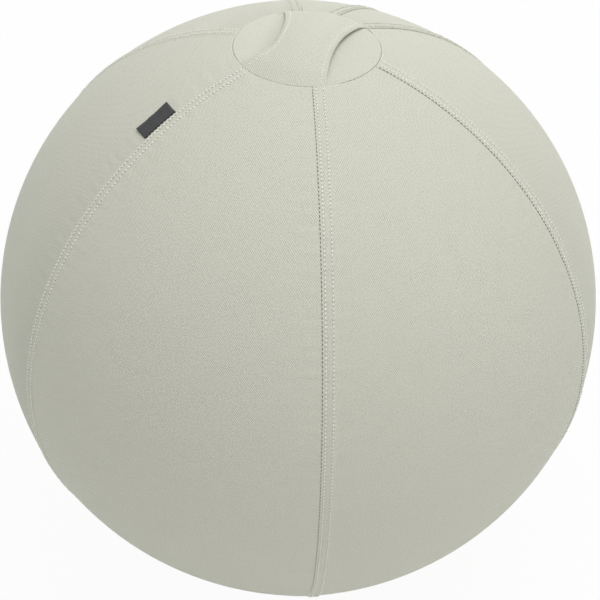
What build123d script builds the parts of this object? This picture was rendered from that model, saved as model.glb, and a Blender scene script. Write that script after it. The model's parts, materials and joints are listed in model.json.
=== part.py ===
from build123d import *
import os
from math import cos, degrees, radians, sin, sqrt

# Covered sitting ball: an inflated bladder in a zipped cloth cover, with a carry strap over its crown.
# Millimetres. The floor is z = 0 and the ball's axis is Z; the strap runs along Y and the zip is on +Y.
# Azimuths are degrees from -Y towards +X, and polar angles are degrees down from the crown.

# Ball and cover
BALL_DIAMETER = 650.0
FOOT_DIAMETER = 100.0  # flat that the ball's own weight presses on the floor
CROWN_DIAMETER = 144.0
BASE_DIAMETER = 156.0
GORES = ["front", "front_right", "rear_right", "rear", "rear_left", "front_left"]
CLOTH = 1.2
SEAM_GAP = 0.4  # groove between two sewn edges
LAP_WIDTH = 11.0  # folded allowance under the stitching beside a groove
LAP_RISE = 1.0  # how far that allowance lifts the cloth
SOFT_GAP = 0.3  # between soft layers that lie on each other

# Carry strap
STRAP_WAIST = 58.0
STRAP_SCOOP = 12.0  # depth of the hollow in each side
STRAP_THICKNESS = 2.6
STRAP_GAP = 9.0  # room for fingers at the middle
STRAP_TURN = 6.0  # degrees that the strap sits round from the middle of the front gore

# Label in the front left seam
LABEL_LENGTH = 38.0
LABEL_WIDTH = 18.0
LABEL_THICKNESS = 0.8
LABEL_POLAR = 30.0

# Bladder, its valve and its ballast
BLADDER_WALL = 1.2
VALVE_BORE = 9.0
VALVE_AZIMUTH = 166.0
VALVE_POLAR = 90.0
VALVE_WALL = 3.0
PLUG_HEAD = 18.0
PLUG_HEAD_THICKNESS = 1.5
PLUG_LENGTH = 18.0
PLUG_TAPER = 0.7
PLUG_FIT = 0.05
SAND_DEPTH = 15.0

# Zip in the rear centre seam, measured along its teeth from the upper end of the slot
ZIP_POLAR = 58.0
ZIP_LENGTH = 400.0
TAPE_WIDTH = 15.0
TAPE_THICKNESS = 0.7
TAPE_TAIL = 12.0  # past each end of the slot
TAPE_GAP = 0.1  # to the cloth that it is sewn under
TOOTH_PITCH = 3.0
TOOTH_THICKNESS = 2.4
TOOTH_REACH = 0.8  # past the middle, into the other row
TOOTH_ROOT = 2.6  # from the middle to the back of the tooth
TOOTH_TIP = 1.1
TOOTH_NECK = 0.9
TOOTH_FOOT = 1.7
TOOTH_GRIP = 1.2  # of tape between the two jaws of a tooth
TOOTH_GAP = 0.15
STOP_LENGTH = 4.0
STOP_MARGIN = 4.0  # from a stop to the end of the slot
STOP_ROUND = 0.6

# Slider and pull
SLIDER_LENGTH = 14.0
SLIDER_PLATE = 1.2
SLIDER_RAIL = 0.9
SLIDER_GAP = 0.3
SLOT_GAP = 1.0  # from the slider to each edge of the slot in the cover
DIAMOND_WIDTH = 2.2
BAIL_LENGTH = 8.4
BAIL_WIDTH = 2.4
BAIL_BAR = 1.1
BAIL_ROUND = 1.6
PULL_LENGTH = 30.0
PULL_WIDTH = 8.0
PULL_NECK = 6.2
PULL_THICKNESS = 1.5
PULL_HOLE = 3.0
PULL_GAP = 0.4

# Worked out from the sizes above
ball_radius = BALL_DIAMETER / 2
cloth_inner = ball_radius - CLOTH
foot_radius = FOOT_DIAMETER / 2
crown_radius = CROWN_DIAMETER / 2
base_radius = BASE_DIAMETER / 2
centre_height = sqrt(ball_radius**2 - foot_radius**2)
ball_centre = Vector(0, 0, centre_height)
gore_angle = 360 / len(GORES)
label_seam = -gore_angle / 2
bladder_radius = cloth_inner - SOFT_GAP
bladder_floor = CLOTH + SOFT_GAP
chain_radius = cloth_inner - TAPE_GAP - TAPE_THICKNESS / 2
slider_throat = TOOTH_ROOT + SLIDER_GAP
slider_mouth = DIAMOND_WIDTH / 2 + TOOTH_REACH + TOOTH_ROOT + 2 * SLIDER_GAP
slider_half_width = slider_mouth + SLIDER_RAIL
slider_room = TOOTH_THICKNESS / 2 + SLIDER_GAP
slider_half_height = slider_room + SLIDER_PLATE
slot_half_width = slider_half_width + SLOT_GAP
tape_inner_edge = TOOTH_ROOT - TOOTH_GRIP + TOOTH_GAP
tape_outer_edge = tape_inner_edge + TAPE_WIDTH
stop_start = ZIP_LENGTH - STOP_MARGIN - STOP_LENGTH
slider_rest = stop_start - SLIDER_GAP - SLIDER_LENGTH / 2
chain_start = STOP_MARGIN + STOP_LENGTH + TOOTH_PITCH / 2
bail_opening = PULL_THICKNESS + 2 * SLIDER_GAP
pull_pivot_height = slider_half_height + bail_opening / 2
everything = 3 * BALL_DIAMETER
upward = (Align.CENTER, Align.CENTER, Align.MIN)
downward = (Align.CENTER, Align.CENTER, Align.MAX)


def direction(azimuth, polar):
    flat = sin(radians(polar))
    return Vector(flat * sin(radians(azimuth)), -flat * cos(radians(azimuth)), cos(radians(polar)))


def ball(radius):
    return Pos(ball_centre) * Sphere(radius)


def flat_ball(radius, floor):
    return ball(radius) & Pos(0, 0, floor) * Box(everything, everything, everything, align=upward)


# Cover
def cover_ring(outer_radius):
    ring = ball(outer_radius) - ball(cloth_inner)
    ring -= Pos(ball_centre) * Cylinder(crown_radius + SEAM_GAP / 2, everything, align=upward)
    ring -= Pos(ball_centre) * Cylinder(base_radius + SEAM_GAP / 2, everything, align=downward)
    return ring


def wedge(from_azimuth, to_azimuth):
    half_angle = radians(to_azimuth - from_azimuth) / 2
    apex = SEAM_GAP / 2 / sin(half_angle)
    along = apex + everything * cos(half_angle)
    across = everything * sin(half_angle)
    outline = Polygon((apex, 0), (along, -across), (along, across), align=None)
    prism = extrude(outline, everything)
    return Rot(0, 0, (from_azimuth + to_azimuth) / 2 - 90) * prism


def lap_slab(azimuth):
    slab = Box(everything, LAP_WIDTH, everything, align=(Align.MIN, Align.MIN, Align.MIN))
    return Rot(0, 0, azimuth - 90) * slab


def gore(from_azimuth, to_azimuth):
    room = wedge(from_azimuth, to_azimuth)
    cloth = cover_ring(ball_radius) & room
    lap = cover_ring(ball_radius + LAP_RISE) & room & lap_slab(from_azimuth)
    return cloth + lap


def zip_sector(low_x, high_x, low_radius, high_radius, start, end):
    # Block that follows the zip, between two distances along its teeth
    from_polar = polar_at(start)
    outward = direction(180, from_polar)
    section_plane = Plane(origin=ball_centre, x_dir=(1, 0, 0), z_dir=Vector(1, 0, 0).cross(outward))
    middle = Pos((low_x + high_x) / 2, (low_radius + high_radius) / 2)
    section = section_plane * middle * Rectangle(high_x - low_x, high_radius - low_radius)
    return revolve(section, Axis(ball_centre, (-1, 0, 0)), polar_at(end) - from_polar)


def rear_half_gore(from_azimuth, to_azimuth):
    hem = slot_half_width + LAP_WIDTH
    lifted = ball_radius + LAP_RISE
    frame = zip_sector(-hem, hem, ball_radius / 2, everything, -LAP_WIDTH, ZIP_LENGTH + LAP_WIDTH)
    slot = zip_sector(-slot_half_width, slot_half_width, ball_radius / 2, everything, 0, ZIP_LENGTH)
    half = gore(from_azimuth, to_azimuth) + (cover_ring(lifted) & wedge(from_azimuth, to_azimuth) & frame)
    return half - slot


def crown_disc():
    core = Cylinder(crown_radius - SEAM_GAP / 2, everything, align=upward)
    return (ball(ball_radius) - ball(cloth_inner)) & Pos(ball_centre) * core


def base_disc():
    core = Cylinder(base_radius - SEAM_GAP / 2, centre_height, align=upward)
    return (flat_ball(ball_radius, 0) - flat_ball(cloth_inner, CLOTH)) & core


def carry_handle():
    # A domed strip whose two ends lie on the crown's seam
    rim_height = sqrt(ball_radius**2 - crown_radius**2)
    rise = ball_radius + STRAP_GAP - rim_height - SOFT_GAP
    dome_radius = (crown_radius**2 + rise**2) / (2 * rise)
    dome_centre = Pos(0, 0, centre_height + ball_radius + STRAP_GAP - dome_radius)
    end_half_width = STRAP_WAIST / 2 + STRAP_SCOOP
    end_reach = sqrt(crown_radius**2 - end_half_width**2)
    scoop_radius = (end_reach**2 + STRAP_SCOOP**2) / (2 * STRAP_SCOOP)
    outline = Circle(crown_radius - SEAM_GAP / 2)
    for side in (-1, 1):
        outline -= Pos(side * (STRAP_WAIST / 2 + scoop_radius), 0) * Circle(scoop_radius)
    dome = Sphere(dome_radius + STRAP_THICKNESS) - Sphere(dome_radius)
    return Rot(0, 0, STRAP_TURN) * dome_centre * (dome & extrude(outline, everything))


def label_tag():
    outward = direction(label_seam, LABEL_POLAR)
    down_seam = direction(label_seam, LABEL_POLAR + 90)
    seat = Plane(origin=ball_centre + outward * ball_radius, x_dir=down_seam, z_dir=outward)
    underside = ball_radius + SOFT_GAP
    sheet = ball(underside + LABEL_THICKNESS) - ball(underside)
    edge_gap = SEAM_GAP / 2 + SOFT_GAP
    cut = Pos(0, -edge_gap - LABEL_WIDTH / 2, 0) * Box(LABEL_LENGTH, LABEL_WIDTH, LABEL_WIDTH)
    return sheet & seat.location * cut


# Bladder
def zip_channel(extra):
    # The bladder yields to the tapes, and further to the slider's inner plate
    under_tape = chain_radius - TAPE_THICKNESS / 2 - SOFT_GAP - extra
    under_slider = chain_radius - slider_half_height - SLIDER_GAP - extra
    past_end = TAPE_TAIL + SOFT_GAP + extra
    tape_half = tape_outer_edge + SOFT_GAP + extra
    slider_half = slot_half_width + extra
    ends = (-past_end, ZIP_LENGTH + past_end)
    wide = zip_sector(-tape_half, tape_half, ball_radius / 2, ball_radius, *ends)
    deep = zip_sector(-slider_half, slider_half, under_slider, ball_radius, *ends)
    return wide - ball(under_tape) + deep


def valve_seat():
    outward = direction(VALVE_AZIMUTH, VALVE_POLAR)
    return Plane(origin=ball_centre + outward * bladder_radius, z_dir=outward).location


def bladder():
    body = flat_ball(bladder_radius, bladder_floor) - zip_channel(0)
    cavity = flat_ball(bladder_radius - BLADDER_WALL, bladder_floor + BLADDER_WALL)
    cavity -= zip_channel(BLADDER_WALL)
    boss_radius = PLUG_HEAD / 2 + VALVE_WALL
    boss_depth = PLUG_LENGTH + VALVE_WALL
    recess_depth = 2 * SOFT_GAP + PLUG_HEAD_THICKNESS
    boss = valve_seat() * Cylinder(boss_radius, boss_depth, align=downward)
    recess = valve_seat() * Cylinder(PLUG_HEAD / 2 + SOFT_GAP, recess_depth, align=downward)
    bore = valve_seat() * Cylinder(VALVE_BORE / 2, boss_depth + VALVE_WALL, align=downward)
    return body - cavity + (boss & ball(bladder_radius)) - recess - bore


def valve_plug():
    head_under = -2 * SOFT_GAP - PLUG_HEAD_THICKNESS + PLUG_FIT
    stem_radius = VALVE_BORE / 2 - PLUG_FIT
    head = Cylinder(PLUG_HEAD / 2, PLUG_HEAD_THICKNESS, align=upward)
    head = fillet(head.edges().group_by(Axis.Z)[-1], PLUG_HEAD_THICKNESS / 3)
    stem = Cone(stem_radius - PLUG_TAPER, stem_radius, PLUG_LENGTH, align=downward)
    return valve_seat() * Pos(0, 0, head_under) * (head + stem)


def ballast_sand():
    floor = bladder_floor + BLADDER_WALL + SOFT_GAP
    fill = flat_ball(bladder_radius - BLADDER_WALL - SOFT_GAP, floor)
    level = Pos(0, 0, floor) * Box(everything, everything, 2 * SAND_DEPTH)
    return fill & level


# Zip
def polar_at(distance):
    return ZIP_POLAR + degrees(distance / chain_radius)


def chain_place(distance):
    # Local X runs across the zip, Y down along it and Z outward
    outward = direction(180, polar_at(distance))
    return Plane(origin=ball_centre + outward * chain_radius, x_dir=(1, 0, 0), z_dir=outward).location


def zip_tape(side):
    inner = chain_radius - TAPE_THICKNESS / 2
    edges = sorted((side * tape_inner_edge, side * tape_outer_edge))
    strip = zip_sector(*edges, ball_radius / 2, ball_radius, -TAPE_TAIL, ZIP_LENGTH + TAPE_TAIL)
    return strip & (ball(inner + TAPE_THICKNESS) - ball(inner))


def zip_tooth():
    head = TOOTH_PITCH / 2 - TOOTH_GAP
    widths = [(-TOOTH_REACH, TOOTH_TIP), (0, head), (TOOTH_REACH, TOOTH_NECK), (TOOTH_ROOT, TOOTH_FOOT)]
    edge = [(x, width / 2) for x, width in widths]
    mirrored = [(x, -y) for x, y in reversed(edge)]
    tooth = extrude(Polygon(*edge, *mirrored, align=None), TOOTH_THICKNESS / 2, both=True)
    jaw_gap = Box(2 * TOOTH_GRIP, TOOTH_PITCH, TAPE_THICKNESS + TOOTH_GAP)
    return tooth - Pos(TOOTH_ROOT, 0, 0) * jaw_gap


def zip_teeth(side):
    chain_end = slider_rest - TOOTH_PITCH / 2
    count = int((chain_end - chain_start) / TOOTH_PITCH)
    tooth = Rot(0, 0, 0 if side > 0 else 180) * zip_tooth()
    offset = 0 if side > 0 else TOOTH_PITCH / 2
    places = [chain_place(chain_start + offset + step * TOOTH_PITCH) for step in range(count)]
    return Compound([place * tooth for place in places])


def zip_end_stop():
    block = Box(2 * (tape_inner_edge - TOOTH_GAP), STOP_LENGTH, TOOTH_THICKNESS)
    rounded = fillet(block.edges().filter_by(Axis.Z), STOP_ROUND)
    return chain_place(STOP_MARGIN + STOP_LENGTH / 2) * rounded


def zip_top_stops():
    width = TOOTH_ROOT - TOOTH_GAP
    block = Pos(TOOTH_GAP + width / 2, 0, 0) * Box(width, STOP_LENGTH, TOOTH_THICKNESS)
    jaw_gap = Box(2 * TOOTH_GRIP, 2 * STOP_LENGTH, TAPE_THICKNESS + TOOTH_GAP)
    stop = fillet(block.edges().filter_by(Axis.Z), STOP_ROUND) - Pos(TOOTH_ROOT, 0, 0) * jaw_gap
    place = chain_place(stop_start + STOP_LENGTH / 2)
    return Compound([place * Rot(0, 0, turn) * stop for turn in (0, 180)])


# Slider
def funnel(throat, mouth, length):
    # Plan of the slider and of the way through it: a narrow throat above, flared to the mouth below
    ends = [(throat, -length / 2), (throat, -length / 4), (mouth, length / 4), (mouth, length / 2)]
    mirrored = [(-x, y) for x, y in reversed(ends)]
    return Polygon(*ends, *mirrored, align=None)


def zip_slider():
    plan = funnel(slider_throat + SLIDER_RAIL, slider_half_width, SLIDER_LENGTH)
    plan = fillet(plan.vertices(), SLIDER_RAIL)
    body = extrude(plan, slider_half_height, both=True)
    way_through = funnel(slider_throat, slider_mouth, SLIDER_LENGTH + SLIDER_RAIL)
    body -= extrude(way_through, slider_room, both=True)
    body -= Box(4 * slider_half_width, 2 * SLIDER_LENGTH, TAPE_THICKNESS + 2 * SLIDER_GAP)
    half = DIAMOND_WIDTH / 2
    tail = SLIDER_LENGTH / 2 - SLIDER_RAIL
    diamond = Polygon((0, 0), (half, tail / 2), (half, tail), (-half, tail), (-half, tail / 2), align=None)
    body += extrude(diamond, slider_half_height - SLIDER_PLATE / 2, both=True)
    sunk = SLIDER_PLATE / 2
    bail_height = bail_opening + BAIL_BAR
    bail_inside = BAIL_LENGTH - 2 * BAIL_BAR
    arch = Pos(0, (bail_height - sunk) / 2) * RectangleRounded(BAIL_LENGTH, bail_height + sunk, BAIL_ROUND)
    arch -= Pos(0, bail_opening / 2) * RectangleRounded(bail_inside, bail_opening, BAIL_ROUND - BAIL_BAR)
    bail_plane = Plane(origin=(0, 0, slider_half_height), x_dir=(0, 1, 0), z_dir=(1, 0, 0))
    bail = extrude(bail_plane * arch, BAIL_WIDTH / 2, both=True)
    return chain_place(slider_rest) * (body + bail)


def zip_pull():
    # Hangs straight down from the bail: local X across, Y down and Z towards the outside
    finger_end = PULL_LENGTH - PULL_WIDTH / 2
    window_half = BAIL_WIDTH / 2 + PULL_GAP
    window_end = BAIL_LENGTH / 2 + PULL_GAP
    ends = [(PULL_NECK / 2, 0), (PULL_WIDTH / 2, finger_end)]
    plan = Polygon(*ends, *[(-x, y) for x, y in reversed(ends)], align=None)
    plan += Pos(0, finger_end) * Circle(PULL_WIDTH / 2)
    plan -= Pos(0, window_end / 2) * Rectangle(2 * window_half, window_end)
    plan -= Pos(0, finger_end) * Circle(PULL_HOLE / 2)
    tab = extrude(plan, PULL_THICKNESS / 2, both=True)
    tab += Rot(0, 90, 0) * Cylinder(PULL_THICKNESS / 2, PULL_NECK)
    pivot = chain_place(slider_rest) * Pos(0, 0, pull_pivot_height)
    hanging = Plane(origin=pivot.position, x_dir=(1, 0, 0), z_dir=(0, 1, 0))
    return hanging.location * tab


os.makedirs("parts", exist_ok=True)
nodes = {
    "bladder": bladder(),
    "valve_plug": valve_plug(),
    "ballast_sand": ballast_sand(),
    "crown_disc": crown_disc(),
    "base_disc": base_disc(),
    "carry_handle": carry_handle(),
    "label_tag": label_tag(),
    "zip_tape_right": zip_tape(1),
    "zip_tape_left": zip_tape(-1),
    "zip_teeth_right": zip_teeth(1),
    "zip_teeth_left": zip_teeth(-1),
    "zip_end_stop": zip_end_stop(),
    "zip_top_stops": zip_top_stops(),
    "zip_slider": zip_slider(),
    "zip_pull": zip_pull(),
}
plain_gore = gore(-gore_angle / 2, gore_angle / 2)
for index, name in enumerate(GORES):
    middle = index * gore_angle
    if name == "rear":
        nodes["gore_rear_half_right"] = rear_half_gore(middle - gore_angle / 2, middle)
        nodes["gore_rear_half_left"] = rear_half_gore(middle, middle + gore_angle / 2)
    else:
        nodes["gore_" + name] = Rot(0, 0, middle) * plain_gore
for name, shape in nodes.items():
    export_step(shape, f"parts/{name}.step")
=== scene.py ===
import json
from math import asin, cos, pi, radians, sin, sqrt

import bmesh
import bpy
from mathutils import Matrix, Vector


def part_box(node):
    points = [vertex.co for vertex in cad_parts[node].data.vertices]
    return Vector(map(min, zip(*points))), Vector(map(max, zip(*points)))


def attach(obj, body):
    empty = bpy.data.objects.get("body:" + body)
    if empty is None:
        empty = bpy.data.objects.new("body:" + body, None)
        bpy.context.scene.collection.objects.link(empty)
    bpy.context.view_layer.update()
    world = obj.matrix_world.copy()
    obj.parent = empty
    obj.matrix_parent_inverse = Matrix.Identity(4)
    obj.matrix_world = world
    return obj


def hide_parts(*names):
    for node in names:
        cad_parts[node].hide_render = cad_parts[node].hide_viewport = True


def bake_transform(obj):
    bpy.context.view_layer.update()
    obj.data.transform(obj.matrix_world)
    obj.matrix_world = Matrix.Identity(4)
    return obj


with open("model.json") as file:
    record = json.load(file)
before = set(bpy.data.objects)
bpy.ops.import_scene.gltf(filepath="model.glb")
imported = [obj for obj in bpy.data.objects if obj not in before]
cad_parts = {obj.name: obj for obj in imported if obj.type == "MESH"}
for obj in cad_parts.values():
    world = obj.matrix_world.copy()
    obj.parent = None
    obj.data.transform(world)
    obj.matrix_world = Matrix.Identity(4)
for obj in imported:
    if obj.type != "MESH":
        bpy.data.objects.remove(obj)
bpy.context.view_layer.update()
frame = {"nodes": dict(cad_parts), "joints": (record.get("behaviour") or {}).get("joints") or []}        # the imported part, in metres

mm = 0.001
scene = bpy.context.scene
joints = {joint["name"]: joint for joint in frame["joints"]}

# Azimuths turn from -Y towards +X and polar angles run down from the crown, both in radians
ballCentre = Vector(joints["slider_travel"]["pos_m"])
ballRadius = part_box("crown_disc")[1].z - ballCentre.z
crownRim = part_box("crown_disc")[1].y
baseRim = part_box("base_disc")[1].y
seamGap = 0.4 * mm
strapTurn = radians(6)  # the strap sits a little round from the middle of the front gore
weldDistance = 1e-6


def smooth(low, high, value):  # 0 at low, 1 at high
    share = min(max((value - low) / (high - low), 0), 1)
    return share * share * (3 - 2 * share)


def ridge(middle, halfWidth, value):  # rounded ridge of height 1
    share = abs(value - middle) / halfWidth
    return 0 if share >= 1 else 0.5 + 0.5 * cos(pi * share)


def rolled(distance, roundness):  # 1 at the very edge of a turned-in cloth edge, 0 past its round
    share = min(max(1 - distance / roundness, 0), 1)
    return 1 - sqrt(1 - share * share)


def outward(azimuth, polar):
    return Vector((sin(polar) * sin(azimuth), -sin(polar) * cos(azimuth), cos(polar)))


def onBall(azimuth, polar, radius):
    return ballCentre + outward(azimuth, polar) * radius


def between(start, end, count):  # count values strictly between two ends
    return [start + (end - start) * (step + 1) / (count + 1) for step in range(count)]


# Meshes
def finishMesh(name, bm, material, body, sharpAngle=None):
    mesh = bpy.data.meshes.new(name)
    bm.to_mesh(mesh)
    bm.free()
    if "custom_normal" in mesh.attributes:
        mesh.attributes.remove(mesh.attributes["custom_normal"])
    mesh.shade_smooth()
    if sharpAngle:
        mesh.set_sharp_from_angle(angle=sharpAngle)
    piece = bpy.data.objects.new(name, mesh)
    scene.collection.objects.link(piece)
    mesh.materials.append(material)
    if body:
        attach(piece, body)
    return piece


# placeAt(column, row) gives a point, its place on the flat cloth and the painted shade there, negative
# for a painted highlight
def gridSheet(columns, rows, placeAt):
    bm = bmesh.new()
    shadeLayer = bm.verts.layers.float.new("shade")
    bmesh.ops.create_grid(bm, x_segments=columns - 1, y_segments=rows - 1, size=1)
    flat = {}
    for vert in bm.verts:
        column = round((vert.co.x + 1) / 2 * (columns - 1))
        row = round((vert.co.y + 1) / 2 * (rows - 1))
        vert.co, flat[vert], vert[shadeLayer] = placeAt(column, row)
    layer = bm.loops.layers.uv.new("weave")
    for face in bm.faces:
        for loop in face.loops:
            loop[layer].uv = flat[loop.vert]
    return bm


def spunSheet(profile, steps):  # profile is (distance from the axis, height) pairs, from the axis out
    bm = bmesh.new()
    verts = [bm.verts.new((0, -distance, height)) for distance, height in profile]
    edges = [bm.edges.new(pair) for pair in zip(verts, verts[1:])]
    bmesh.ops.spin(
        bm, geom=verts + edges, cent=(0, 0, 0), axis=(0, 0, 1), angle=2 * pi, steps=steps, use_merge=True
    )
    bmesh.ops.remove_doubles(bm, verts=bm.verts, dist=weldDistance)
    bmesh.ops.recalc_face_normals(bm, faces=bm.faces)
    facing = sum(face.normal.dot(face.calc_center_median() - ballCentre) for face in bm.faces)
    if facing < 0:
        bmesh.ops.reverse_faces(bm, faces=bm.faces)
    layer = bm.loops.layers.uv.new("weave")
    for face in bm.faces:
        for loop in face.loops:
            loop[layer].uv = loop.vert.co.xy
    return bm


def addThickness(piece, thickness):
    wall = piece.modifiers.new("cloth thickness", "SOLIDIFY")
    wall.thickness = thickness
    wall.offset = -1


def buildStitch():  # every stitch is a copy of this one
    bm = bmesh.new()
    bmesh.ops.create_uvsphere(bm, u_segments=6, v_segments=4, radius=1)
    mesh = bpy.data.meshes.new("single stitch")
    bm.to_mesh(mesh)
    bm.free()
    return mesh


singleStitch = buildStitch()


def addStitch(bm, middle, along, up, size):  # size is the stitch's length, width and height
    along = along.normalized()
    across = up.cross(along).normalized()
    lift = along.cross(across)
    turn = Matrix((across, lift, along)).transposed().to_4x4()
    shape = Matrix.Diagonal((size[1] / 2, size[2] / 2, size[0] / 2, 1))
    matrix = Matrix.Translation(middle) @ turn @ shape
    bm.from_mesh(singleStitch)
    bm.verts.ensure_lookup_table()
    for vert in bm.verts[-len(singleStitch.vertices):]:
        vert.co = matrix @ vert.co


# Node helpers
def addNode(tree, kind, settings, inputs):
    made = tree.nodes.new(kind)
    for key, value in settings.items():
        setattr(made, key, value)
    for key, value in inputs.items():
        if isinstance(value, bpy.types.NodeSocket):
            tree.links.new(value, made.inputs[key])
        else:
            made.inputs[key].default_value = value
    return made


def calc(tree, operation, first, second=0.0, third=0.0):
    made = addNode(tree, "ShaderNodeMath", {"operation": operation}, {0: first, 1: second, 2: third})
    return made.outputs[0]


def newGroup(name, inputs, outputs):
    group = bpy.data.node_groups.new(name, "ShaderNodeTree")
    for socket, kind in inputs.items():
        group.interface.new_socket(socket, in_out="INPUT", socket_type=kind)
    for socket, kind in outputs.items():
        group.interface.new_socket(socket, in_out="OUTPUT", socket_type=kind)
    start = group.nodes.new("NodeGroupInput")
    end = group.nodes.new("NodeGroupOutput")
    return group, start.outputs, end.inputs


def newMaterial(name, sockets):
    material = bpy.data.materials.new(name)
    material.use_nodes = True
    shader = material.node_tree.nodes["Principled BSDF"]
    for socket, value in sockets.items():
        shader.inputs[socket].default_value = value
    return material, material.node_tree, shader


def useGroup(tree, group, inputs):
    return addNode(tree, "ShaderNodeGroup", {"node_tree": group}, inputs).outputs


def mixColor(tree, share, first, second, blend="MIX"):  # 6, 7 and 2 are the mix node's colour sockets
    settings = {"data_type": "RGBA", "blend_type": blend}
    mixed = addNode(tree, "ShaderNodeMix", settings, {0: share, 6: first, 7: second})
    return mixed.outputs[2]


def addNoise(tree, place, scale, detail):
    noise = addNode(tree, "ShaderNodeTexNoise", {}, {"Vector": place, "Scale": scale, "Detail": detail})
    return noise.outputs[0]


def addBump(tree, shader, height, strength, distance):
    bump = addNode(
        tree, "ShaderNodeBump", {}, {"Height": height, "Strength": strength, "Distance": distance}
    )
    tree.links.new(bump.outputs[0], shader.inputs["Normal"])


# Shared effects
weaveForm = {
    "rib": 0.25,  # strength of the diagonal
    "patch": (75.0, 1.0),  # scale and detail of the places where the weave is clearer
    "patchGain": 0.9,
    "patchBase": -0.1,
    "slub": (640.0, 2.0),  # uneven yarn
    "slubGain": 0.7,
    "slubBase": 0.15,
    "cloud": (22.0, 4.0),  # slow change of tone
}
grainForm = {"grainDetail": 2.0, "toneScale": 0.1, "toneDetail": 3.0}


def buildWeave():
    look = weaveForm
    group, given, result = newGroup(
        "basketWeave",
        {"Flat": "NodeSocketVector", "Pitch": "NodeSocketFloat"},
        {"Height": "NodeSocketFloat", "Mottle": "NodeSocketFloat"},
    )
    split = addNode(group, "ShaderNodeSeparateXYZ", {}, {0: given["Flat"]})
    turns = calc(group, "DIVIDE", 2 * pi, given["Pitch"])
    warp = calc(group, "MULTIPLY", split.outputs[0], turns)
    weft = calc(group, "MULTIPLY", split.outputs[1], turns)
    crossing = calc(group, "MULTIPLY", calc(group, "SINE", warp), calc(group, "SINE", weft))
    rising = calc(group, "SINE", calc(group, "ADD", warp, weft))
    woven = calc(group, "MULTIPLY_ADD", rising, look["rib"], crossing)
    patch = addNoise(group, given["Flat"], *look["patch"])
    clear = calc(group, "MULTIPLY_ADD", patch, look["patchGain"], look["patchBase"])
    slub = addNoise(group, given["Flat"], *look["slub"])
    uneven = calc(group, "MULTIPLY_ADD", slub, look["slubGain"], look["slubBase"])
    group.links.new(calc(group, "MULTIPLY_ADD", woven, clear, uneven), result["Height"])
    group.links.new(addNoise(group, given["Flat"], *look["cloud"]), result["Mottle"])
    return group


def buildGrain():
    look = grainForm
    group, given, result = newGroup(
        "mouldedGrain",
        {"Place": "NodeSocketVector", "Size": "NodeSocketFloat"},
        {"Height": "NodeSocketFloat", "Tone": "NodeSocketFloat"},
    )
    fine = calc(group, "DIVIDE", 1.0, given["Size"])
    broad = calc(group, "MULTIPLY", fine, look["toneScale"])
    group.links.new(addNoise(group, given["Place"], fine, look["grainDetail"]), result["Height"])
    group.links.new(addNoise(group, given["Place"], broad, look["toneDetail"]), result["Tone"])
    return group


basketWeave = buildWeave()
mouldedGrain = buildGrain()


# Finishes
def wovenMaterial(name, look):
    material, tree, shader = newMaterial(name, look["sockets"])
    flat = addNode(tree, "ShaderNodeUVMap", {"uv_map": "weave"}, {})
    weave = useGroup(tree, basketWeave, {"Flat": flat.outputs[0], "Pitch": look["pitch"]})
    yarn = mixColor(tree, weave["Height"], look["dark"], look["light"])
    mottle = calc(tree, "MULTIPLY_ADD", weave["Mottle"], look["mottle"], 1 - look["mottle"] / 2)
    # the shade attribute darkens the colour with painted shade and lightens it with painted highlights
    # where negative; fade is the mottled tone times that
    shade = addNode(tree, "ShaderNodeAttribute", {"attribute_name": "shade"}, {})
    fade = calc(tree, "MULTIPLY", mottle, calc(tree, "SUBTRACT", 1.0, shade.outputs["Fac"]))
    color = mixColor(tree, 1.0, yarn, fade, "MULTIPLY")
    tree.links.new(color, shader.inputs["Base Color"])
    addBump(tree, shader, weave["Height"], look["relief"], look["depth"])
    return material


def mouldedMaterial(name, look):
    material, tree, shader = newMaterial(name, look["sockets"])
    place = addNode(tree, "ShaderNodeTexCoord", {}, {})
    grain = useGroup(tree, mouldedGrain, {"Place": place.outputs["Object"], "Size": look["grain"]})
    color = mixColor(tree, grain["Tone"], look["dark"], look["light"])
    tree.links.new(color, shader.inputs["Base Color"])
    rough = calc(tree, "MULTIPLY_ADD", grain["Tone"], look["roughSpread"], look["rough"])
    tree.links.new(rough, shader.inputs["Roughness"])
    addBump(tree, shader, grain["Height"], look["relief"], look["depth"])
    return material


coverCloth = wovenMaterial("cover cloth", {
    "dark": (0.44, 0.447, 0.375, 1),
    "light": (0.885, 0.893, 0.768, 1),
    "pitch": 2.15 * mm,
    "mottle": 0.03,
    "relief": 0.7,
    "depth": 0.25 * mm,
    "sockets": {
        "Roughness": 0.9,
        "Specular IOR Level": 0.12,
        "Sheen Weight": 0.15,
        "Sheen Roughness": 0.4,
    },
})
labelWeave = wovenMaterial("label weave", {
    "dark": (0.0, 0.0, 0.0, 1),
    "light": (0.125, 0.127, 0.13, 1),
    "pitch": 2.3 * mm,
    "mottle": 0.08,
    "relief": 0.7,
    "depth": 0.2 * mm,
    "sockets": {"Roughness": 0.75, "Specular IOR Level": 0.25, "Sheen Weight": 0.05},
})
tapeWeave = wovenMaterial("zip tape weave", {
    "dark": (0.5, 0.505, 0.43, 1),
    "light": (0.6, 0.605, 0.52, 1),
    "pitch": 1.2 * mm,
    "mottle": 0.04,
    "relief": 0.6,
    "depth": 0.2 * mm,
    "sockets": {"Roughness": 0.85, "Specular IOR Level": 0.15},
})
seamThread = mouldedMaterial("seam thread", {
    "dark": (0.88, 0.885, 0.81, 1),
    "light": (0.95, 0.95, 0.89, 1),
    "grain": 0.35 * mm,
    "rough": 0.6,
    "roughSpread": 0.2,
    "relief": 0.4,
    "depth": 0.1 * mm,
    "sockets": {"Specular IOR Level": 0.3},
})
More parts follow.
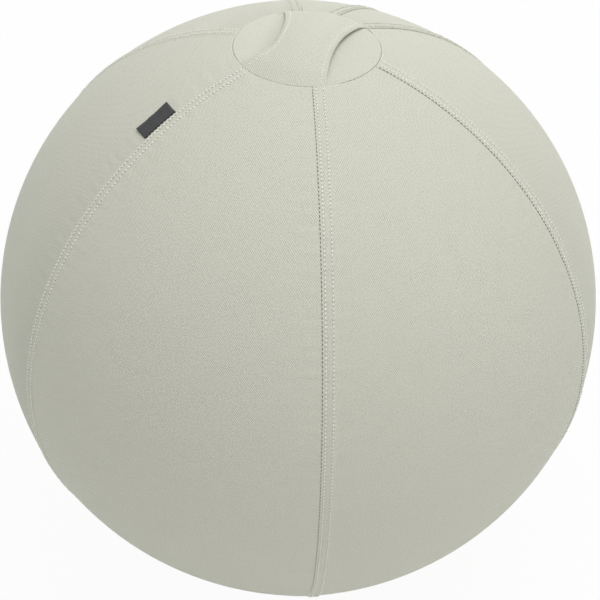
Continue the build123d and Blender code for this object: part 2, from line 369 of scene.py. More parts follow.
shadedThread = mouldedMaterial("shaded thread", {  # a darker copy of the seam thread for the rear seams, painted shade so that their stitches catch less light
    "dark": (0.69, 0.695, 0.61, 1),
    "light": (0.77, 0.775, 0.69, 1),
    "grain": 0.35 * mm,
    "rough": 0.7,
    "roughSpread": 0.2,
    "relief": 0.4,
    "depth": 0.1 * mm,
    "sockets": {"Specular IOR Level": 0.2},
})
zipPlastic = mouldedMaterial("zip plastic", {
    "dark": (0.54, 0.545, 0.47, 1),
    "light": (0.6, 0.605, 0.53, 1),
    "grain": 0.5 * mm,
    "rough": 0.3,
    "roughSpread": 0.15,
    "relief": 0.1,
    "depth": 0.05 * mm,
    "sockets": {"Specular IOR Level": 0.5},
})
sliderPaint = mouldedMaterial("slider paint", {
    "dark": (0.5, 0.505, 0.44, 1),
    "light": (0.57, 0.575, 0.5, 1),
    "grain": 0.8 * mm,
    "rough": 0.28,
    "roughSpread": 0.12,
    "relief": 0.12,
    "depth": 0.05 * mm,
    "sockets": {"Specular IOR Level": 0.6, "Coat Weight": 0.3, "Coat Roughness": 0.2},
})
bladderVinyl = mouldedMaterial("bladder vinyl", {
    "dark": (0.44, 0.45, 0.44, 1),
    "light": (0.54, 0.55, 0.54, 1),
    "grain": 1.5 * mm,
    "rough": 0.38,
    "roughSpread": 0.2,
    "relief": 0.2,
    "depth": 0.2 * mm,
    "sockets": {"Specular IOR Level": 0.5},
})
plugPlastic = mouldedMaterial("plug plastic", {
    "dark": (0.74, 0.74, 0.72, 1),
    "light": (0.82, 0.82, 0.8, 1),
    "grain": 0.6 * mm,
    "rough": 0.35,
    "roughSpread": 0.15,
    "relief": 0.1,
    "depth": 0.05 * mm,
    "sockets": {"Specular IOR Level": 0.5},
})
sandGrains = mouldedMaterial("ballast sand", {
    "dark": (0.42, 0.34, 0.24, 1),
    "light": (0.78, 0.7, 0.56, 1),
    "grain": 0.9 * mm,
    "rough": 0.8,
    "roughSpread": 0.2,
    "relief": 1.0,
    "depth": 0.5 * mm,
    "sockets": {"Specular IOR Level": 0.3},
})
print("finishes made:", len(bpy.data.materials))

# Zip opening in the rear centre seam: distances run along the teeth from its upper end
zipOpening = {
    "azimuth": pi,
    "polar": radians(58),
    "length": 400 * mm,
    "halfWidth": 7 * mm,
    "cornerRound": 3.5 * mm,
    "hemWidth": 11 * mm,
    "stitchInset": 3.6 * mm,
    "chainDepth": 1.65 * mm,  # of the teeth's middle under the ball's surface
}
chainRadius = ballRadius - zipOpening["chainDepth"]


def zipDistance(polar):
    return (polar - zipOpening["polar"]) * chainRadius


def zipPolar(distance):
    return zipOpening["polar"] + distance / chainRadius


def slotEdge(polar):  # half width of the opening between the two rear half gores
    inside = min(zipDistance(polar), zipOpening["length"] - zipDistance(polar))
    share = min(max(inside / zipOpening["cornerRound"], 0), 1)
    return seamGap / 2 + (zipOpening["halfWidth"] - seamGap / 2) * sqrt(1 - (1 - share) ** 2)


def seamEdge(polar):  # half width of a plain seam's gap
    return seamGap / 2


# Cover gores
goreCloth = {
    "thickness": 0.7 * mm,
    "sixth": radians(60),  # of the ball, between two of its seams
    "flattening": 0.6 * mm,  # of a gore's middle
    "seamProud": 1.0 * mm,
    "lapWidth": 11 * mm,
    "lapRise": 0.9 * mm,
    "lapFade": 2.0 * mm,
    "edgeRound": 0.9 * mm,
    "edgeDrop": 0.9 * mm,
    "underDrop": 0.3 * mm,  # of the edge that goes under the lap
    "endDrop": 0.4 * mm,  # of the edges in the crown and base seams
    "endRound": 0.7 * mm,
    "endWelt": 0.15 * mm,  # where the allowance is turned under
    "weltMiddle": 1.0 * mm,
    "endHighlight": 0.1,  # painted highlight along the turned edge at the crown seam
    "lapTaper": 5 * mm,  # the laps run out towards the crown and base seams
    "taperStart": -1 * mm,
    "puckerDepth": 0.16 * mm,
    "puckerLength": 15 * mm,
    "puckerSway": 1.7,  # how far the puckers stray from even steps
    "swayRate": 31,
    "smallPucker": 0.6,  # height of a second, shorter wave
    "smallLength": 0.61,
    "puckerStart": 6 * mm,  # from the seam, as below
    "puckerFade": 8 * mm,
    "puckerReach": 34 * mm,
    "fromColumns": (0, 0.12, 0.3, 0.6, 1.0, 1.6, 2.3, 3.1, 3.9, 6.5, 9.1, 10, 10.9, 11.8, 13, 17),
    "toColumns": (22, 14, 9, 6, 4, 2.6, 1.6, 1.0, 0.6, 0.3, 0.12, 0),  # mm from the edge, as above
    "middleColumns": 20,
    "endRows": (0, 0.12, 0.4, 0.9, 1.6, 2.3),  # mm from the crown and base seams
    # mm in from the zip's ends
    "slotRows": (-14, -12, -11, -2, -0.4, 0, 0.06, 0.2, 0.45, 0.8, 1.3, 2, 2.8, 3.5, 5),
    "rowClear": 0.35 * mm,  # least step between rows
    "edgeShare": 0.75,  # most of a row that the columns beside its seams take up
    "bandReach": 80 * mm,  # of the painted shade beside some seams
    "crownReach": 55 * mm,  # of the painted shade below the crown
}
crownEdge = asin((crownRim + seamGap) / ballRadius)
baseEdge = pi - asin((baseRim + seamGap) / ballRadius)
seamLength = (baseEdge - crownEdge) * ballRadius
# toShade, fromShade and crownShade give painted shade beside the seams and below the crown
gores = [  # seams in degrees
    {"name": "gore_front", "from": -30, "to": 30},
    {"name": "gore_front_right", "from": 30, "to": 90},
    {"name": "gore_rear_right", "from": 90, "to": 150, "fromShade": 0.05},
    {
        "name": "gore_rear_half_right", "from": 150, "to": 180, "toEdge": slotEdge,
        "crownShade": 0.04, "thread": shadedThread,
    },
    {
        "name": "gore_rear_half_left", "from": 180, "to": 210, "fromEdge": slotEdge,
        "crownShade": 0.04, "thread": shadedThread,
    },
    {"name": "gore_rear_left", "from": 210, "to": 270, "crownShade": 0.06, "thread": shadedThread},
    {"name": "gore_front_left", "from": 270, "to": 330, "toShade": 0.075},
]
goreNamed = {gore["name"]: gore for gore in gores}

# Two rows of stitches hold each lap down, with a needle hole between every two stitches
seamStitch = {
    "pitch": 3.9 * mm,
    "rows": (3.1 * mm, 10 * mm),  # from the seam
    "size": (3.1 * mm, 1.5 * mm, 1.2 * mm),
    "sit": 0.3 * mm,
    "slant": 0.12 * mm,  # sideways lean of each stitch
    "endGap": 3 * mm,
    "trough": 0.2 * mm,
    "troughWidth": 1.1 * mm,
    "holeDepth": 0.28 * mm,
    # painted shade in the needle holes
    "holeShade": 0.2,
    "ripple": 0.1 * mm,  # of the lap between its rows
    "bridge": (1.4 * mm, 0.8 * mm),  # width and height of the threads that cross the groove
    "bridgeReach": 0.75 * mm,
    "zipMargin": 14 * mm,  # from the zip's ends to the first stitch
    "bridgeMargin": 2 * mm,
}
stitchTop = crownEdge + seamStitch["endGap"] / ballRadius
sewnLength = seamLength - 2 * seamStitch["endGap"]
stitchCount = int(sewnLength / seamStitch["pitch"])
stitchStep = sewnLength / stitchCount


def stitchPolar(count):
    return stitchTop + count * stitchStep / ballRadius


def isSewn(gore, polar, margin=seamStitch["zipMargin"]):  # the lapped seam stops at the zip
    distance = zipDistance(polar)
    return "fromEdge" not in gore or distance < -margin or distance > zipOpening["length"] + margin


def stitchRows(fromSeam):  # 1 along the middle of each row
    return sum(ridge(row, seamStitch["troughWidth"], fromSeam) for row in seamStitch["rows"])


def stitchWave(polar):  # 1 at the needle holes, -1 at the middle of the stitches
    return cos(2 * pi * (polar - stitchTop) * ballRadius / stitchStep)


def needleHole(gore, polar, fromSeam):  # 1 in a needle hole
    if not isSewn(gore, polar):
        return 0
    return stitchRows(fromSeam) * (0.5 + 0.5 * stitchWave(polar)) ** 2


def hemLift(polar, azimuth):  # the turned hem that frames the zip opening
    across = abs(ballRadius * sin(polar) * sin(azimuth - zipOpening["azimuth"]))
    past = max(-zipDistance(polar), zipDistance(polar) - zipOpening["length"])
    fade = goreCloth["lapFade"]
    outer = zipOpening["halfWidth"] + zipOpening["hemWidth"]
    if cos(azimuth - zipOpening["azimuth"]) < 0:
        return 0
    beside = 1 - smooth(outer - fade / 2, outer + fade, across)
    within = 1 - smooth(zipOpening["hemWidth"] - fade / 2, zipOpening["hemWidth"] + fade, past)
    return beside * within


def clothEdges(gore, polar):  # how far the cloth stays from the gore's two seams
    return gore.get("fromEdge", seamEdge)(polar), gore.get("toEdge", seamEdge)(polar)


def seamDistances(gore, polar, azimuth):  # from the gore's two seams
    ringRadius = ballRadius * sin(polar)
    fromSeam = ringRadius * sin(azimuth - radians(gore["from"]))
    return fromSeam, ringRadius * sin(radians(gore["to"]) - azimuth)


def goreRadius(gore, polar, azimuth):
    look = goreCloth
    fromEdge, toEdge = clothEdges(gore, polar)
    fromSeam, toSeam = seamDistances(gore, polar, azimuth)
    beside = abs((azimuth / look["sixth"] + 0.5) % 1 - 0.5) * 2  # 0 mid-way between seams, 1 at them
    crease = beside**2 * sin(polar) ** 2
    lap = 1 - smooth(look["lapWidth"], look["lapWidth"] + look["lapFade"], fromSeam)
    fromEnd = ballRadius * min(polar - crownEdge, baseEdge - polar)
    lift = max(lap * smooth(look["taperStart"], look["lapTaper"], fromEnd), hemLift(polar, azimuth))
    along = ballRadius * polar
    sway = look["puckerSway"] * sin(along * look["swayRate"] + gore["from"])
    wave = sin(2 * pi * along / look["puckerLength"] + sway)
    smallLength = look["puckerLength"] * look["smallLength"]
    wave += look["smallPucker"] * sin(2 * pi * along / smallLength + gore["to"])
    nearest = min(fromSeam, toSeam)
    fade = 1 - smooth(look["puckerFade"], look["puckerReach"], nearest)
    pucker = wave * smooth(0, look["puckerStart"], nearest) * fade
    trough = seamStitch["trough"] * stitchRows(fromSeam)
    trough += seamStitch["holeDepth"] * needleHole(gore, polar, fromSeam)
    trough += seamStitch["ripple"] * lap * stitchWave(polar)
    fromDrop = look["edgeDrop"] * rolled(fromSeam - fromEdge, look["edgeRound"])
    toDrop = look["underDrop"] * rolled(toSeam - toEdge, look["edgeRound"])
    endDrop = look["endDrop"] * rolled(fromEnd, look["endRound"])
    welt = look["endWelt"] * ridge(look["weltMiddle"], look["weltMiddle"], fromEnd)
    radius = ballRadius - look["flattening"] + (look["flattening"] + look["seamProud"]) * crease
    radius += look["lapRise"] * lift + welt + look["puckerDepth"] * pucker
    radius -= trough if isSewn(gore, polar) else 0
    return radius - max(fromDrop, toDrop, endDrop)


def goreRows(gore):
    ends = [step * mm / ballRadius for step in goreCloth["endRows"]]
    rows = [crownEdge + step for step in ends] + [baseEdge - step for step in ends]
    if "fromEdge" in gore or "toEdge" in gore:
        rows += [zipPolar(step * mm) for step in goreCloth["slotRows"]]
        rows += [zipPolar(zipOpening["length"] - step * mm) for step in goreCloth["slotRows"]]
    even = [stitchPolar(step / 2) for step in range(2 * stitchCount + 1)]
    clear = goreCloth["rowClear"] / ballRadius
    rows += [polar for polar in even if min(abs(polar - row) for row in rows) > clear]
    return sorted(rows, reverse=True)  # base first, so that faces point out


def goreColumn(gore, polar):  # azimuths of one row, from seam to seam
    look = goreCloth
    ringRadius = ballRadius * sin(polar)
    start, end = radians(gore["from"]), radians(gore["to"])
    fromEdge, toEdge = clothEdges(gore, polar)
    fromLast, toLast = look["fromColumns"][-1], look["toColumns"][0]
    room = ringRadius * (end - start) - fromEdge - toEdge
    squeeze = min(1, look["edgeShare"] * room / ((fromLast + toLast) * mm))

    def inFrom(edge, step, last):  # columns follow the zip's opening less and less away from it
        return asin((edge * (1 - step / last) ** 2 + step * mm * squeeze) / ringRadius)

    left = [start + inFrom(fromEdge, step, fromLast) for step in look["fromColumns"]]
    right = [end - inFrom(toEdge, step, toLast) for step in look["toColumns"]]
    return left + between(left[-1], right[0], look["middleColumns"]) + right


def clothShade(gore, polar, azimuth):  # painted shade at a place on the cloth, in the needle holes, beside some seams and below the crown, less a painted highlight at the crown's turned edge
    look = goreCloth
    fromSeam, toSeam = seamDistances(gore, polar, azimuth)
    fromCrown = ballRadius * (polar - crownEdge)
    shade = seamStitch["holeShade"] * needleHole(gore, polar, fromSeam)
    shade -= look["endHighlight"] * ridge(0, 2 * look["weltMiddle"], fromCrown)
    band = gore.get("toShade", 0) * (1 - smooth(0, look["bandReach"], toSeam))
    if fromSeam > look["lapWidth"]:
        band += gore.get("fromShade", 0) * (1 - smooth(look["lapWidth"], look["bandReach"], fromSeam))
    shade += band * sin(polar) ** 2
    return shade + gore.get("crownShade", 0) * (1 - smooth(0, look["crownReach"], fromCrown))


def buildGore(gore):
    rows = goreRows(gore)
    azimuths = [goreColumn(gore, polar) for polar in rows]
    middle = radians(gore["from"] + gore["to"]) / 2

    def placeAt(column, row):
        polar, azimuth = rows[row], azimuths[row][column]
        flat = ((azimuth - middle) * ballRadius * sin(polar), -ballRadius * polar)
        point = onBall(azimuth, polar, goreRadius(gore, polar, azimuth))
        return point, flat, clothShade(gore, polar, azimuth)

    bm = gridSheet(len(azimuths[0]), len(rows), placeAt)
    piece = finishMesh(gore["name"] + "_cloth", bm, coverCloth, "cover")
    addThickness(piece, goreCloth["thickness"])
    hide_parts(gore["name"])
    return piece


gorePieces = [buildGore(gore) for gore in gores]
print("gores sewn up:", len(gorePieces))


def layStitch(bm, pathAt, middle, reach, look):  # pathAt(place) gives a point and the outward direction
    along = pathAt(middle + reach)[0] - pathAt(middle - reach)[0]
    point, up = pathAt(middle)
    lean = along.cross(up).normalized() * look["slant"]
    addStitch(bm, point + up * look["sit"], along + lean, up, look["size"])


def rowOfStitches(bm, pathAt, length, look):
    count = int(length / look["pitch"])
    for step in range(count):
        layStitch(bm, pathAt, (step + 0.5) * length / count, look["size"][0] / 2, look)


def seamPoint(gore, polar, fromSeam):  # negative distances lie on the gore before the seam
    azimuth = radians(gore["from"]) + asin(fromSeam / (ballRadius * sin(polar)))
    owner = gore if fromSeam > 0 else gores[gores.index(gore) - 1]
    turn = 2 * pi if fromSeam < 0 and gore is gores[0] else 0
    return onBall(azimuth, polar, goreRadius(owner, polar, azimuth + turn)), outward(azimuth, polar)


def stitchSeam(gore):
    bm = bmesh.new()
    reach = seamStitch["size"][0] / 2 / ballRadius
    for step in range(stitchCount):
        middle, hole = stitchPolar(step + 0.5), stitchPolar(step)
        for row in seamStitch["rows"] if isSewn(gore, middle) else ():
            layStitch(bm, lambda polar: seamPoint(gore, polar, row), middle, reach, seamStitch)
        if not isSewn(gore, hole, seamStitch["bridgeMargin"]):
            continue
        low, up = seamPoint(gore, hole, -seamStitch["bridgeReach"])
        high = seamPoint(gore, hole, seamStitch["bridgeReach"])[0]
        addStitch(bm, (low + high) / 2, high - low, up, ((high - low).length, *seamStitch["bridge"]))
    thread = gore.get("thread", seamThread)
    return finishMesh(gore["name"] + "_stitches", bm, thread, "cover")


stitchPieces = [stitchSeam(gore) for gore in gores]


def stitchZipFrame():
    bm = bmesh.new()
    inset = zipOpening["halfWidth"] + zipOpening["stitchInset"]
    overrun = zipOpening["stitchInset"]
    for gore, side in ((goreNamed["gore_rear_half_right"], -1), (goreNamed["gore_rear_half_left"], 1)):

        def besideSlot(distance):
            polar = zipPolar(distance - overrun)
            azimuth = zipOpening["azimuth"] + side * asin(inset / (ballRadius * sin(polar)))
            return onBall(azimuth, polar, goreRadius(gore, polar, azimuth)), outward(azimuth, polar)

        rowOfStitches(bm, besideSlot, zipOpening["length"] + 2 * overrun, seamStitch)
        for end in (-overrun, zipOpening["length"] + overrun):

            def acrossSlot(distance):
                polar = zipPolar(end)
                turn = asin((distance + seamGap) / (ballRadius * sin(polar)))
                azimuth = zipOpening["azimuth"] + side * turn
                return onBall(azimuth, polar, goreRadius(gore, polar, azimuth)), outward(azimuth, polar)

            rowOfStitches(bm, acrossSlot, inset, seamStitch)
    return finishMesh("zip_frame_stitches", bm, shadedThread, "cover")


stitchPieces.append(stitchZipFrame())
print("seams stitched:", len(stitchPieces))

# Crown and base discs
discCloth = {
    "thickness": 0.7 * mm,
    "rimRound": 0.8 * mm,
    "rimDrop": 1.1 * mm,
    "rimDip": 0.9 * mm,  # of the crown under the ends of the strap
    "dipWidth": 6 * mm,
    "dipHalf": 47 * mm,
    "dipFade": 10 * mm,
    "rimSteps": (4.5, 3, 2, 1.2, 0.8, 0.45, 0.2, 0.05, 0),  # mm from the rim
    "ringStep": 4 * mm,
    "spinSteps": 128,
}


def discProfile(rim, surfaceAt, dropSign):
    count = int(rim / discCloth["ringStep"])
    inner = rim - discCloth["dipWidth"]
    distances = [inner * step / count for step in range(count + 1)]
    distances += [rim - step * mm for step in discCloth["rimSteps"]]
    profile = []
    for distance in distances:
        drop = discCloth["rimDrop"] * rolled(rim - distance, discCloth["rimRound"])
        profile.append((distance, surfaceAt(distance) + dropSign * drop))
    return profile


def crownHeight(distance):
    return ballCentre.z + sqrt(ballRadius**2 - distance**2)


def baseHeight(distance):
    return max(ballCentre.z - sqrt(ballRadius**2 - distance**2), 0)


def strapDip(point):  # how far the strap's ends press the crown's rim down
    beside = abs((Matrix.Rotation(-strapTurn, 3, "Z") @ point).x)
    fromRim = crownRim - point.xy.length
    under = 1 - smooth(discCloth["dipHalf"], discCloth["dipHalf"] + discCloth["dipFade"], beside)
    return discCloth["rimDip"] * under * (1 - smooth(0, discCloth["dipWidth"], fromRim))


def buildDisc(node, rim, surfaceAt, dropSign):
    bm = spunSheet(discProfile(rim, surfaceAt, dropSign), discCloth["spinSteps"])
    if node == "crown_disc":
        for vert in bm.verts:
            vert.co.z -= strapDip(vert.co)
    piece = finishMesh(node + "_cloth", bm, coverCloth, "cover")
    addThickness(piece, discCloth["thickness"])
    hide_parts(node)
    return piece


crownPiece = buildDisc("crown_disc", crownRim, crownHeight, -1)
buildDisc("base_disc", baseRim, baseHeight, 1)
print("crown and base discs made")

# Carry strap: two layers of cloth with turned hems, sewn into the crown's seam at both ends
carryStrap = {
    "rightWaist": 31.5 * mm,
    "rightScoop": 9.5 * mm,
    "leftWaist": 25 * mm,
    "leftScoop": 21 * mm,
    "leftCurve": 1.7,
    "leftFlare": 21 * mm,  # how much wider the rear end is on the left
    "leftHollow": -0.4,  # where the left edge lies furthest in
    "middleGap": 8 * mm,  # room under the middle
    "edgeGap": 2.6 * mm,  # room under the edges
    "layer": 0.9 * mm,  # half the thickness
    "hemLayer": 1.25 * mm,
    "hemWidth": 5.2 * mm,
    "hemBlend": (0.7 * mm, 0.5 * mm),  # either side of the hem's inner edge
    "stitchInset": 0.6 * mm,  # from that edge
    "groove": 0.2 * mm,  # under the stitches
    "grooveHalf": 0.9 * mm,
    "archPower": 1.25,
    "endLayer": 0.22 * mm,
    "endTaper": 16 * mm,
    "endRest": -0.85 * mm,  # height of the sewn end over the ball
    "endReach": 0.36 * mm,  # past the crown's rim, into its seam
    "lift": 1.55 * mm,  # of the middle layer past the taper
    "risePower": 0.7,
    "sewnMargin": 3 * mm,  # from the rim to where the strap starts to rise with the handle
    "freeHalf": 14 * mm,  # of the middle, which rises whole
    "sharpAngle": radians(55),  # edges past this are shaded sharp
    "edgeSteps": (0, 0.12, 0.45, 1.0, 2.2, 3.6, 4.7, 5.4, 6.6),  # mm in from an edge
    "middleColumns": 14,
    "rows": 40,
    "endRows": (0.4, 0.9, 1.6, 2.6, 4),  # mm from the sewn end
    "edgeShade": 0.07,  # painted shadow on the crown beside the strap's left edge
    "freeLight": 0.04,  # painted light on the crown further out
    "shadeReach": 20 * mm,
}
strapStitch = {
    "pitch": 3.6 * mm,
    "size": (2.7 * mm, 1.0 * mm, 0.8 * mm),
    "sit": 0.1 * mm,
    "slant": 0.1 * mm,
}


def strapEdges(along):  # left and right edge; along is -1 at the front end and 1 at the rear one
    look = carryStrap
    hollow = look["leftHollow"]
    if along < hollow:
        spread = look["leftScoop"] * ((hollow - along) / (hollow + 1)) ** look["leftCurve"]
    else:
        spread = look["leftFlare"] * ((along - hollow) / (1 - hollow)) ** 2
    return -look["leftWaist"] - spread, look["rightWaist"] + look["rightScoop"] * along**2


def strapMiddle(share, along):  # share is -1 at the left edge and 1 at the right one
    look = carryStrap
    left, right = strapEdges(along)
    endLeft, endRight = strapEdges(1 if along > 0 else -1)
    x = left + (right - left) * (share + 1) / 2
    endX = endLeft + (endRight - endLeft) * (share + 1) / 2
    y = along * sqrt((crownRim + look["endReach"]) ** 2 - endX**2)
    arch = look["edgeGap"] + (look["middleGap"] - look["edgeGap"]) * (1 - share**2)
    room = arch * (1 - along**2) ** look["archPower"]
    point = Vector((x, y, sqrt(ballRadius**2 - x * x - y * y) + room))
    return ballCentre + Matrix.Rotation(strapTurn, 3, "Z") @ point


def strapLayer(inset, fromEnd):  # half the thickness at a distance in from an edge and from the sewn end
    look = carryStrap
    blendOut, blendIn = look["hemBlend"]
    hem = 1 - smooth(look["hemWidth"] - blendOut, look["hemWidth"] + blendIn, inset)
    layer = look["layer"] + (look["hemLayer"] - look["layer"]) * hem
    layer -= look["groove"] * ridge(look["hemWidth"] - look["stitchInset"], look["grooveHalf"], inset)
    roundness = min(inset / look["hemLayer"], 1)
    edge = sqrt(1 - (1 - roundness) ** 2)
    end = look["endLayer"] + (layer - look["endLayer"]) * smooth(0, look["endTaper"], fromEnd)
    return end * edge


def strapPoint(share, along, face):  # face is 1 on top and -1 underneath
    look = carryStrap
    left, right = strapEdges(along)
    inset = (1 - abs(share)) * (right - left) / 2
    middle = strapMiddle(share, along)
    fromEnd = (1 - abs(along)) * crownRim
    up = (middle - ballCentre).normalized()
    rise = min(fromEnd / look["endTaper"], 1) ** look["risePower"]
    rest = look["endRest"] + (look["lift"] - look["endRest"]) * rise
    return middle + up * (rest + face * strapLayer(inset, fromEnd))


def strapHalf(name, side):
    look = carryStrap
    halfWidth = (strapEdges(side)[1] - strapEdges(side)[0]) / 2
    steps = [step * mm / halfWidth for step in look["edgeSteps"]]
    left = [-1 + step for step in steps]
    right = [1 - step for step in reversed(steps)]
    shares = left + between(left[-1], right[0], look["middleColumns"]) + right
    loop = [(share, 1) for share in shares] + [(share, -1) for share in reversed(shares[1:-1])]
    loop.append(loop[0])
    ends = [1 - step * mm / crownRim for step in look["endRows"]]
    alongs = [1] + ends + between(ends[-1], 0, look["rows"]) + [0]
    if side < 0:
        alongs = [-along for along in alongs]
        alongs.reverse()

    def placeAt(column, row):
        share, face = loop[column]
        along = alongs[len(alongs) - 1 - row]
        point = strapPoint(share, along, face)
        return point, (point.x, point.y), 0

    bm = gridSheet(len(loop), len(alongs), placeAt)
    bmesh.ops.remove_doubles(bm, verts=bm.verts, dist=weldDistance)
    bmesh.ops.holes_fill(bm, edges=[edge for edge in bm.edges if edge.is_boundary], sides=0)
    bmesh.ops.recalc_face_normals(bm, faces=bm.faces)
    piece = finishMesh(name, bm, coverCloth, None, sharpAngle=look["sharpAngle"])
    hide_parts("carry_handle")
    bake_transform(piece)
    threads = bmesh.new()
    for edge in (-1, 1):

        def pathAt(distance):
            along = side * distance / crownRim
            left, right = strapEdges(along)
            share = edge * (1 - 2 * (look["hemWidth"] - look["stitchInset"]) / (right - left))
            point = strapPoint(share, along, 1)
            return point, (point - ballCentre).normalized()

        rowOfStitches(threads, pathAt, crownRim - look["sewnMargin"], strapStitch)
    stitches = finishMesh(name + "_stitches", threads, seamThread, None)
    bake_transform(stitches)


def shadeCrown(piece):  # painted shadow on the crown beside the strap's left edge, and painted light further out
    look = carryStrap
    shade = piece.data.attributes.new("shade", "FLOAT", "POINT")
    for vert, spot in zip(piece.data.vertices, shade.data):
        place = Matrix.Rotation(-strapTurn, 3, "Z") @ vert.co
        left = strapEdges(min(max(place.y / crownRim, -1), 1))[0]
        free = smooth(0, look["shadeReach"], left - place.x)
        hidden = smooth(0, look["shadeReach"], place.x - left)  # under the strap
        spot.value = (look["edgeShade"] * (1 - free) - look["freeLight"] * free) * (1 - hidden)


shadeCrown(crownPiece)
strapHalf("carry_strap_front", -1)
strapHalf("carry_strap_rear", 1)
print("carry strap made")

# Woven label in the front left seam, bare
wovenLabel = {
    "polar": radians(30),
    "length": 38 * mm,
    "width": 18 * mm,
    "thickness": 0.6 * mm,
    "lift": 0.9 * mm,  # over the cloth
    "levelReach": 3 * mm,  # from the seam, where the cloth under it rounds down and the tag doesn't
    "curl": 1.1 * mm,  # of the free edge
    "evenCurl": 0.4,  # share of it in the middle of that edge
    "tuck": 1.2 * mm,  # into the groove
    "tuckRound": 1.6 * mm,
    # painted shadow on the tag along its sewn edge
    "seamShade": 0.5,
    "seamReach": (0.8 * mm, 2 * mm),
    "foldHighlight": 0.6,  # painted highlight along the folded free edge
    "edgeBlend": (0.93, 0.97),
    "lengthSteps": 30,
    "widthSteps": 18,
}


def buildLabel():
    look = wovenLabel
    gore = goreNamed["gore_front_left"]
    seam = radians(gore["to"])

    def placeAt(column, row):
        across = 1 - column / look["widthSteps"]  # 1 at the free edge, 0 in the seam
        along = (0.5 - row / look["lengthSteps"]) * look["length"]
        polar = look["polar"] + along / ballRadius
        reach = seamGap / 4 + across * look["width"]
        azimuth = seam - asin(reach / (ballRadius * sin(polar)))
        inner = seam - asin(max(reach, look["levelReach"]) / (ballRadius * sin(polar)))
        corner = (2 * along / look["length"]) ** 2
        curl = look["curl"] * across**2 * (look["evenCurl"] + corner)
        radius = goreRadius(gore, polar, inner) + look["lift"] + curl
        radius -= look["tuck"] * rolled(reach, look["tuckRound"])
        shade = look["seamShade"] * (1 - smooth(*look["seamReach"], reach))
        shade -= look["foldHighlight"] * smooth(*look["edgeBlend"], across)
        return onBall(azimuth, polar, radius), (across * look["width"], along), shade

    bm = gridSheet(look["widthSteps"] + 1, look["lengthSteps"] + 1, placeAt)
    piece = finishMesh("label_tag_weave", bm, labelWeave, "cover")
    addThickness(piece, look["thickness"])
    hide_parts("label_tag")


buildLabel()
print("label made")

# Zip tapes, teeth, stops, slider and pull
tapeLow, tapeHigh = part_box("zip_tape_right")
zipTape = {
    "inner": tapeLow.x,
    "outer": tapeHigh.x,
    "tail": 12 * mm,
    "thickness": 0.5 * mm,
    "outerRadius": ballRadius - 1.4 * mm,
    "ribDepth": 0.08 * mm,
    "ribs": 5,
    "columns": 40,
    "rowStep": 4 * mm,
}


def buildTape(side, name):
    look = zipTape
    length = zipOpening["length"] + 2 * look["tail"]
    rows = int(length / look["rowStep"])

    def placeAt(column, row):
        across = column / look["columns"]
        share = across if side > 0 else 1 - across
        x = look["inner"] + (look["outer"] - look["inner"]) * share
        distance = zipOpening["length"] + look["tail"] - length * row / rows
        rib = look["ribDepth"] * (0.5 + 0.5 * cos(2 * pi * look["ribs"] * share))
        radius = look["outerRadius"] - rib
        ring = sqrt(radius**2 - x * x)
        polar = zipPolar(distance)
        place = ballCentre + Vector((-side * x, ring * sin(polar), ring * cos(polar)))
        return place, (x, distance), 0

    bm = gridSheet(look["columns"] + 1, rows + 1, placeAt)
    piece = finishMesh(name + "_weave", bm, tapeWeave, "cover")
    addThickness(piece, look["thickness"])
    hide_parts(name)


buildTape(1, "zip_tape_left")
buildTape(-1, "zip_tape_right")

brokenEdges = {
    "sizes": {
        "zip_slider": 0.25 * mm,
        "zip_pull": 0.3 * mm,
        "zip_end_stop": 0.25 * mm,
        "zip_top_stops": 0.25 * mm,
    },
    "flatAngle": radians(2),  # faces closer to level than this are joined first
    "sharpAngle": radians(35),
    "shadeAngle": radians(40),
    "segments": 2,
}


def softenedCopy(node, body, material):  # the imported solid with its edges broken
    look = brokenEdges
    bm = bmesh.new()
    bm.from_mesh(frame["nodes"][node].data)
    bmesh.ops.remove_doubles(bm, verts=bm.verts, dist=weldDistance)
    bmesh.ops.dissolve_limit(bm, angle_limit=look["flatAngle"], verts=bm.verts, edges=bm.edges)
    whole = [edge for edge in bm.edges if edge.is_manifold]
    sharp = [edge for edge in whole if edge.calc_face_angle() > look["sharpAngle"]]
    bmesh.ops.bevel(
        bm, geom=sharp, offset=look["sizes"][node], affect="EDGES", segments=look["segments"],
        profile=0.5, material=-1, clamp_overlap=True,
    )
    piece = finishMesh(node + "_finished", bm, material, body, sharpAngle=look["shadeAngle"])
    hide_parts(node)


softenedCopy("zip_slider", "slider", sliderPaint)
softenedCopy("zip_pull", "pull", sliderPaint)
softenedCopy("zip_end_stop", "cover", zipPlastic)
softenedCopy("zip_top_stops", "cover", zipPlastic)


def finishNode(node, material):
    mesh = frame["nodes"][node].data
    mesh.materials.clear()
    mesh.materials.append(material)


for node, material in {
    "zip_teeth_right": zipPlastic,
    "zip_teeth_left": zipPlastic,
    "bladder": bladderVinyl,
    "valve_plug": plugPlastic,
    "ballast_sand": sandGrains,
}.items():
    finishNode(node, material)
print("zip and inner pieces finished")

# Floor, light and camera
studio = {
    "floorHalf": 6.0,
    "floorGap": 0.2 * mm,
    "floorColor": (0.89, 0.89, 0.88, 1),
    "floorWhite": 0.94,  # share of plain white that the camera sees
    "skyLevel": 0.35,
    "skyLean": Vector((-0.0285, -0.1205, 0.37)),  # brighter towards here
}
softLamps = [  # angles in degrees, lengths in metres, power in watts
    {"name": "key", "azimuth": 124, "elevation": 79, "distance": 2.6, "size": 1.8, "power": 23.4},
    {"name": "back fill", "azimuth": 200, "elevation": 15, "distance": 4.0, "size": 2.2, "power": 39.0},
    {"name": "side fill", "azimuth": 80, "elevation": 15, "distance": 4.0, "size": 2.2, "power": 15.0},
]


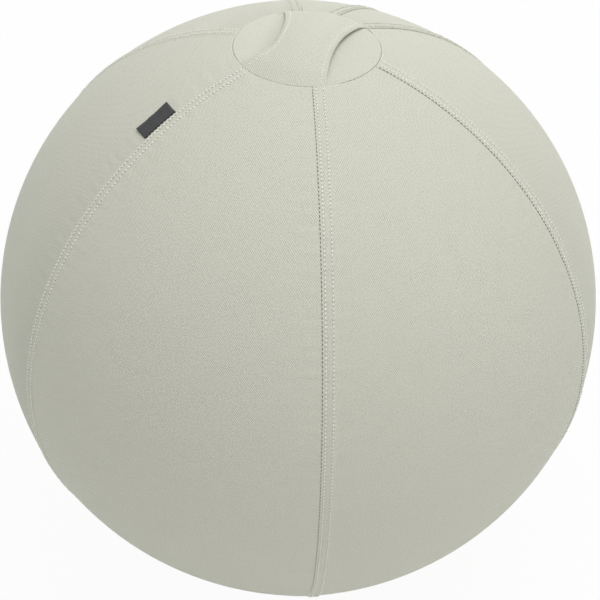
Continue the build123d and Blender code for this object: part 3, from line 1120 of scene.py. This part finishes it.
def whiteForCamera(tree):  # 1 for rays that see the background
    path = addNode(tree, "ShaderNodeLightPath", {}, {})
    seen = calc(tree, "MAXIMUM", path.outputs["Is Camera Ray"], path.outputs["Is Glossy Ray"])
    return calc(tree, "MAXIMUM", seen, path.outputs["Is Transmission Ray"])


def buildFloor():
    bm = bmesh.new()
    place = Matrix.Translation((0, 0, -studio["floorGap"]))
    bmesh.ops.create_grid(bm, x_segments=8, y_segments=8, size=studio["floorHalf"], matrix=place)
    mesh = bpy.data.meshes.new("floor")
    bm.to_mesh(mesh)
    bm.free()
    material = bpy.data.materials.new("floor paper")
    material.use_nodes = True
    tree = material.node_tree
    tree.nodes.clear()
    paper = addNode(tree, "ShaderNodeBsdfDiffuse", {}, {"Color": studio["floorColor"]})
    white = addNode(tree, "ShaderNodeEmission", {}, {"Color": (1, 1, 1, 1), "Strength": 1.0})
    share = calc(tree, "MULTIPLY", whiteForCamera(tree), studio["floorWhite"])
    mixed = addNode(tree, "ShaderNodeMixShader", {}, {0: share, 1: paper.outputs[0], 2: white.outputs[0]})
    addNode(tree, "ShaderNodeOutputMaterial", {}, {"Surface": mixed.outputs[0]})
    mesh.materials.append(material)
    floor = bpy.data.objects.new("floor", mesh)
    scene.collection.objects.link(floor)


def buildLight():
    world = bpy.data.worlds.new("studio sky")
    scene.world = world
    world.use_nodes = True
    tree = world.node_tree
    tree.nodes.clear()
    place = addNode(tree, "ShaderNodeTexCoord", {}, {})
    lean = addNode(
        tree, "ShaderNodeVectorMath", {"operation": "DOT_PRODUCT"},
        {0: place.outputs["Generated"], 1: studio["skyLean"]},
    )
    level = calc(tree, "ADD", lean.outputs["Value"], studio["skyLevel"])
    sky = addNode(tree, "ShaderNodeBackground", {}, {"Strength": level})
    white = addNode(tree, "ShaderNodeBackground", {}, {"Strength": 1.0})
    for backdrop in (sky, white):
        backdrop.inputs["Color"].default_value = (1, 1, 1, 1)
    mixed = addNode(
        tree, "ShaderNodeMixShader", {}, {0: whiteForCamera(tree), 1: sky.outputs[0], 2: white.outputs[0]}
    )
    addNode(tree, "ShaderNodeOutputWorld", {}, {"Surface": mixed.outputs[0]})
    for look in softLamps:
        lamp = bpy.data.lights.new(look["name"], "AREA")
        lamp.energy = look["power"]
        lamp.size = look["size"]
        placed = bpy.data.objects.new(look["name"], lamp)
        away = outward(radians(look["azimuth"]), radians(90 - look["elevation"]))
        placed.location = ballCentre + away * look["distance"]
        placed.rotation_euler = away.to_track_quat("Z", "Y").to_euler()
        placed.visible_camera = False
        scene.collection.objects.link(placed)


photoView = {
    "azimuth": radians(25.2),
    "elevation": radians(40.2),
    "roll": radians(2.1),
    "distance": 1.5,
    "lens": 80.6,
    "shiftX": 0.0033,
    "shiftY": -0.004,
}


def buildCamera():
    look = photoView
    back = outward(look["azimuth"], pi / 2 - look["elevation"])
    right = Vector((cos(look["azimuth"]), sin(look["azimuth"]), 0))
    up = back.cross(right)
    tiltedRight = right * cos(look["roll"]) + up * sin(look["roll"])
    tiltedUp = up * cos(look["roll"]) - right * sin(look["roll"])
    lens = bpy.data.cameras.new("photo camera")
    lens.lens = look["lens"]
    lens.shift_x = look["shiftX"]
    lens.shift_y = look["shiftY"]
    camera = bpy.data.objects.new("photo camera", lens)
    turn = Matrix((tiltedRight, tiltedUp, back)).transposed().to_4x4()
    camera.matrix_world = Matrix.Translation(ballCentre + back * look["distance"]) @ turn
    scene.collection.objects.link(camera)
    scene.camera = camera


buildFloor()
buildLight()
buildCamera()
scene.view_settings.view_transform = "Standard"
print("floor, light and camera set")
